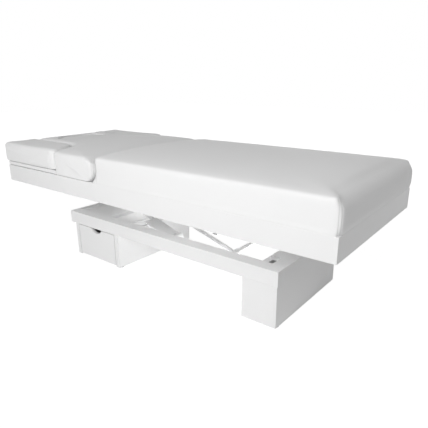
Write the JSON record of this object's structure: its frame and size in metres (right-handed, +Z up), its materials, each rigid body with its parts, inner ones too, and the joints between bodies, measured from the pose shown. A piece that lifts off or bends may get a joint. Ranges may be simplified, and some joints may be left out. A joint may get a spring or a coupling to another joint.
{
  "type": "spa bed with cabinet base",
  "caption": "White spa treatment bed: padded top with tilting back, lift-off arm pads and face plug, on a lift over a tray that rests on a drawer cabinet and a pillar.",
  "frame": {"origin": "on the floor, under the centre of the bed top's rectangle", "axes": "+X towards the foot end, -Y towards the drawer front, +Z up"},
  "size_m": [1.97, 0.784, 0.6175],
  "materials": {
    "leatherette": "satin",
    "laminate": "satin",
    "white_steel": "satin",
    "bright_steel": "satin",
    "actuator_plastic": "matte",
    "glide_plastic": "matte"
  },
  "bodies": {
    "base": {"glides": "glide_plastic", "cabinet_sides": "laminate", "cabinet_back": "laminate", "cabinet_bottom": "laminate", "cabinet_top": "laminate", "runner_rails": "bright_steel", "pillar_side_boards": "laminate", "pillar_end_boards": "laminate", "pillar_top": "laminate", "tray_side_rails": "laminate", "tray_head_board": "laminate", "tray_foot_board": "laminate", "tray_head_plate": "laminate", "tray_foot_plate": "laminate", "base_rails": "white_steel", "base_cross_tubes": "white_steel", "pivot_brackets": "white_steel", "lower_shafts": "bright_steel", "control_box": "actuator_plastic", "mains_inlet": "actuator_plastic", "lift_motor_bracket": "white_steel"},
    "drawer": {"drawer_front": "laminate", "drawer_sides": "laminate", "drawer_back": "laminate", "drawer_bottom": "laminate", "drawer_runners": "bright_steel"},
    "foot_arms": {"foot_lift_arms": "white_steel", "foot_torsion_tube": "white_steel", "lift_crank": "white_steel"},
    "head_arms": {"head_lift_arms": "white_steel", "head_tie_tube": "white_steel", "head_arm_plates": "white_steel"},
    "lift_actuator": {"lift_motor": "actuator_plastic"},
    "lift_actuator_rod": {"lift_rod": "bright_steel"},
    "carriage": {"skirt_sides": "laminate", "skirt_ends": "laminate", "carriage_rails": "white_steel", "carriage_cross_tubes": "white_steel", "upper_brackets": "white_steel", "upper_shafts": "bright_steel", "main_deck": "laminate", "main_mattress": "leatherette", "hinge_ears": "white_steel", "back_motor_bracket": "white_steel"},
    "back_section": {"backrest_board": "laminate", "backrest_rails": "white_steel", "backrest_cross_tubes": "white_steel", "hinge_plates": "white_steel", "hinge_pins": "bright_steel", "back_crank": "white_steel", "back_pad": "leatherette"},
    "back_actuator": {"back_motor": "actuator_plastic"},
    "back_actuator_rod": {"back_rod": "bright_steel"},
    "arm_rest_near": {"arm_base_near": "laminate", "arm_pad_near": "leatherette"},
    "arm_rest_far": {"arm_base_far": "laminate", "arm_pad_far": "leatherette"},
    "face_plug": {"face_plug": "leatherette"}
  },
  "joints": [
    {"name": "lift", "type": "hinge", "parent": "base", "child": "foot_arms", "pos_m": [0.43, 0, 0.205], "axis": [0, 1, 0], "range_deg": [0, 48]},
    {"name": "head_arms_swing", "type": "hinge", "parent": "base", "child": "head_arms", "pos_m": [0.1, 0, 0.205], "axis": [0, 1, 0], "range_deg": [0, 48]},
    {"name": "carriage_level", "type": "hinge", "parent": "foot_arms", "child": "carriage", "pos_m": [0.02835, 0, 0.3278], "axis": [0, 1, 0], "range_deg": [-48, 0]},
    {"name": "lift_actuator_tilt", "type": "hinge", "parent": "base", "child": "lift_actuator", "pos_m": [0.18, 0, 0.225], "axis": [0, 1, 0], "range_deg": [0, 9]},
    {"name": "lift_actuator_stroke", "type": "slide", "parent": "lift_actuator", "child": "lift_actuator_rod", "axis": [0.9668, 0, 0.2556], "range_m": [0, 0.058]},
    {"name": "back_tilt", "type": "hinge", "parent": "carriage", "child": "back_section", "pos_m": [-0.249, 0, 0.5314], "axis": [0, 1, 0], "range_deg": [0, 60]},
    {"name": "back_actuator_tilt", "type": "hinge", "parent": "carriage", "child": "back_actuator", "pos_m": [0.051, 0, 0.4194], "axis": [0, 1, 0], "range_deg": [0, 2.2]},
    {"name": "back_actuator_stroke", "type": "slide", "parent": "back_actuator", "child": "back_actuator_rod", "axis": [-0.9989, 0, 0.0459], "range_m": [0, 0.1]},
    {"name": "drawer_slide", "type": "slide", "parent": "base", "child": "drawer", "axis": [0, -1, 0], "range_m": [0, 0.38]},
    {"name": "arm_rest_near_lift_off", "type": "slide", "parent": "back_section", "child": "arm_rest_near", "axis": [0, 0, 1], "range_m": [0, 0.06]},
    {"name": "arm_rest_far_lift_off", "type": "slide", "parent": "back_section", "child": "arm_rest_far", "axis": [0, 0, 1], "range_m": [0, 0.06]},
    {"name": "face_plug_lift_off", "type": "slide", "parent": "back_section", "child": "face_plug", "axis": [0, 0, 1], "range_m": [0, 0.12]}
  ],
  "couplings": [
    {"joint": "head_arms_swing", "follows": "lift", "ratio": 1},
    {"joint": "carriage_level", "follows": "lift", "ratio": -1},
    {"joint": "lift_actuator_tilt", "follows": "lift", "ratio": 0.17046},
    {"joint": "lift_actuator_stroke", "follows": "lift", "m_per_rad": 0.06655},
    {"joint": "back_actuator_tilt", "follows": "back_tilt", "ratio": 0.03219},
    {"joint": "back_actuator_stroke", "follows": "back_tilt", "m_per_rad": 0.09271}
  ]
}
